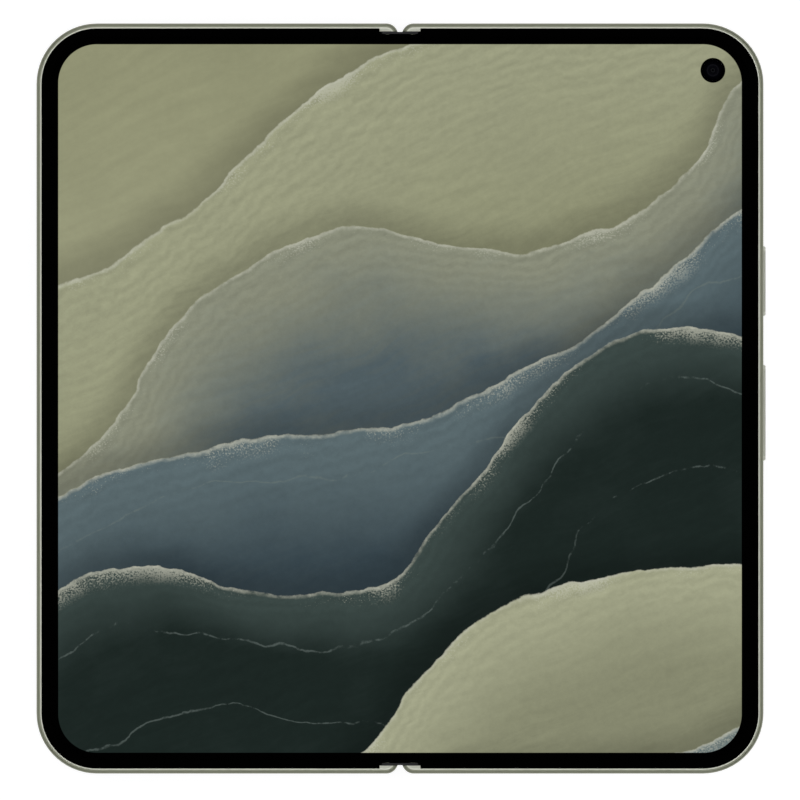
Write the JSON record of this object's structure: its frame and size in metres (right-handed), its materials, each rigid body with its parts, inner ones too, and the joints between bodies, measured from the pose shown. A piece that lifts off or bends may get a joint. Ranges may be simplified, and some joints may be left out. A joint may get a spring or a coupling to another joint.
{
  "type": "foldable smartphone",
  "caption": "Book-style folding phone, open flat: two thin halves joined by a geared double-axis hinge, with a folding inner screen, a cover screen and a raised rear camera island.",
  "frame": {"origin": "middle of the fold line, at the height of the camera island's outer face, on which the phone lies", "axes": "+X from the fold towards the half with the keys and cameras, +Y up the screen, +Z out of the inner screen"},
  "size_m": [0.1508, 0.1552, 0.0078],
  "materials": {
    "frame_metal": "satin anodised",
    "key_metal": "satin anodised",
    "spine_metal": "polished",
    "island_metal": "satin anodised",
    "back_glass": "matt etched glass",
    "black_glass": "polished glass over black",
    "soft_border": "soft touch",
    "screen": "glossy folding screen",
    "panel": "display panel",
    "thin_steel": "brushed",
    "hinge_steel": "ground",
    "end_cap": "matt",
    "gear_metal": "sintered",
    "spring_steel": "spring steel",
    "screw_steel": "blackened",
    "cable": "flexible film",
    "battery": "laminated foil",
    "board": "solder mask",
    "can_steel": "tinned sheet",
    "module_plastic": "moulded",
    "lens_ring": "turned",
    "flash": "moulded lens",
    "copper": "copper wire",
    "magnet": "plated"
  },
  "bodies": {
    "right_half": {"right_frame": "frame_metal", "right_back_glass": "back_glass", "right_bezel": "soft_border", "right_panel": "screen", "right_panel_plate": "thin_steel", "camera_island": "island_metal", "camera_windows": "black_glass", "lens_rings": "lens_ring", "camera_modules": "module_plastic", "flash_lens": "flash", "right_battery": "battery", "main_board": "board", "shield_cans": "can_steel", "usb_port": "can_steel", "bottom_speaker": "module_plastic", "haptic_motor": "can_steel", "charging_coil": "copper", "inner_camera": "module_plastic", "inner_camera_window": "black_glass", "button_switches": "module_plastic", "card_reader": "can_steel", "right_rotors": "hinge_steel", "right_hinge_screws": "screw_steel", "right_magnets": "magnet"},
    "spine": {"spine_cover": "spine_metal", "spine_end_caps": "end_cap", "hinge_blocks": "hinge_steel", "centre_plate": "thin_steel", "fold_panel": "screen", "gear_spindles": "hinge_steel", "friction_discs": "spring_steel", "fold_cable": "cable"},
    "left_half": {"left_frame": "frame_metal", "cover_glass": "black_glass", "cover_panel": "panel", "cover_camera": "module_plastic", "left_bezel": "soft_border", "left_panel": "screen", "left_panel_plate": "thin_steel", "left_battery": "battery", "sub_board": "board", "earpiece_speaker": "module_plastic", "left_rotors": "hinge_steel", "left_hinge_screws": "screw_steel", "left_magnets": "magnet"},
    "right_sync_arms": {"right_sync_arms": "gear_metal"},
    "left_sync_arms": {"left_sync_arms": "gear_metal"},
    "right_idlers": {"right_idlers": "gear_metal"},
    "left_idlers": {"left_idlers": "gear_metal"},
    "right_wing": {"right_wing": "thin_steel"},
    "left_wing": {"left_wing": "thin_steel"},
    "power_button": {"power_button": "key_metal"},
    "volume_key": {"volume_key": "key_metal"},
    "card_tray": {"card_tray": "frame_metal"}
  },
  "joints": [
    {"name": "fold_right", "type": "hinge", "parent": "spine", "child": "right_half", "pos_m": [0.00175, 0, 0.00625], "axis": [0, -1, 0], "range_deg": [0, 90], "deforming": ["fold_panel", "fold_cable"]},
    {"name": "fold_left", "type": "hinge", "parent": "spine", "child": "left_half", "pos_m": [-0.00175, 0, 0.00625], "axis": [0, 1, 0], "range_deg": [0, 90], "deforming": ["fold_panel", "fold_cable"]},
    {"name": "right_sync_turn", "type": "hinge", "parent": "spine", "child": "right_sync_arms", "pos_m": [0.00264, 0, 0.00525], "axis": [0, 1, 0], "range_deg": [-90, 0]},
    {"name": "left_sync_turn", "type": "hinge", "parent": "spine", "child": "left_sync_arms", "pos_m": [-0.00264, 0, 0.00525], "axis": [0, 1, 0], "range_deg": [0, 90]},
    {"name": "right_idler_turn", "type": "hinge", "parent": "spine", "child": "right_idlers", "pos_m": [0.00088, 0, 0.00525], "axis": [0, 1, 0], "range_deg": [0, 90]},
    {"name": "left_idler_turn", "type": "hinge", "parent": "spine", "child": "left_idlers", "pos_m": [-0.00088, 0, 0.00525], "axis": [0, 1, 0], "range_deg": [-90, 0]},
    {"name": "right_wing_drop", "type": "hinge", "parent": "right_half", "child": "right_wing", "pos_m": [0.0083, 0, 0.00662], "axis": [0, 1, 0], "range_deg": [-8, 0]},
    {"name": "left_wing_drop", "type": "hinge", "parent": "left_half", "child": "left_wing", "pos_m": [-0.0083, 0, 0.00662], "axis": [0, 1, 0], "range_deg": [0, 8]},
    {"name": "power_press", "type": "slide", "parent": "right_half", "child": "power_button", "axis": [-1, 0, 0], "range_m": [0, 0.00025], "stiffness_N_per_m": 2000, "springref_m": -0.0002},
    {"name": "volume_rock", "type": "hinge", "parent": "right_half", "child": "volume_key", "pos_m": [0.0726, -0.00295, 0.0051], "axis": [0, 0, 1], "range_deg": [-1.2, 1.2], "stiffness_Nm_per_rad": 0.3},
    {"name": "tray_slide", "type": "slide", "parent": "right_half", "child": "card_tray", "axis": [0, -1, 0], "range_m": [0, 0.016]}
  ],
  "couplings": [
    {"joint": "fold_left", "follows": "fold_right", "ratio": 1},
    {"joint": "right_sync_turn", "follows": "fold_right", "ratio": -1},
    {"joint": "left_sync_turn", "follows": "fold_right", "ratio": 1},
    {"joint": "right_idler_turn", "follows": "fold_right", "ratio": 1},
    {"joint": "left_idler_turn", "follows": "fold_right", "ratio": -1},
    {"joint": "right_wing_drop", "follows": "fold_right", "ratio": -0.088889},
    {"joint": "left_wing_drop", "follows": "fold_right", "ratio": 0.088889}
  ]
}
